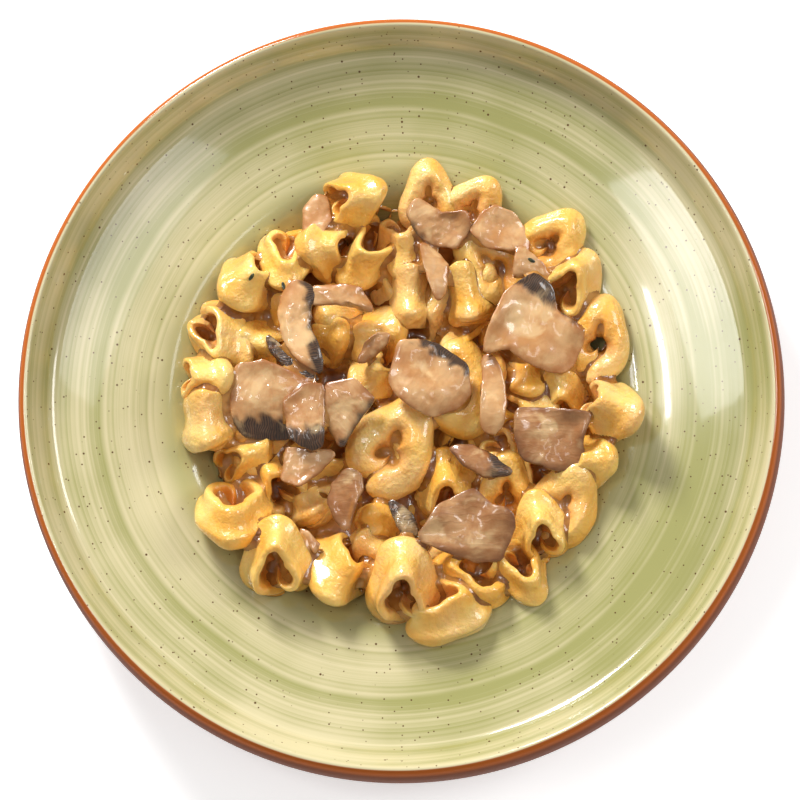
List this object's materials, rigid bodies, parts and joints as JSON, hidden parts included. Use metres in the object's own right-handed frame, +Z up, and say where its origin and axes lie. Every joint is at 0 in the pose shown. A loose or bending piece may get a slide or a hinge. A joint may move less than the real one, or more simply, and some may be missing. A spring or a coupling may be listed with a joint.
{
  "type": "plated tortellini meal",
  "caption": "Deep glazed round plate filled with tortellini and mushroom slices in a cream sauce, ready to set on a table.",
  "frame": {"origin": "middle of the foot ring, on the plane the plate stands on", "axes": "+Z up through the middle of the plate; +X to the right and +Y away from the diner"},
  "size_m": [0.28, 0.28, 0.048],
  "materials": {
    "plate": "glossy cream and green streaked glaze with brown speckles and a brown edge",
    "pasta": "moist yellow egg dough under a thin film of cream",
    "mushroom": "cooked mushroom flesh, pale tan to brown, moist"
  },
  "bodies": {
    "root": {"plate": "plate", "tortellini_heap": "pasta", "mushroom_01": "mushroom", "mushroom_02": "mushroom", "mushroom_03": "mushroom", "mushroom_04": "mushroom", "mushroom_05": "mushroom", "mushroom_06": "mushroom", "mushroom_07": "mushroom", "mushroom_08": "mushroom", "mushroom_09": "mushroom", "mushroom_10": "mushroom", "mushroom_11": "mushroom", "mushroom_12": "mushroom", "mushroom_13": "mushroom", "mushroom_14": "mushroom", "mushroom_15": "mushroom", "mushroom_16": "mushroom", "mushroom_17": "mushroom", "mushroom_18": "mushroom", "mushroom_19": "mushroom", "mushroom_20": "mushroom"}
  },
  "joints": []
}
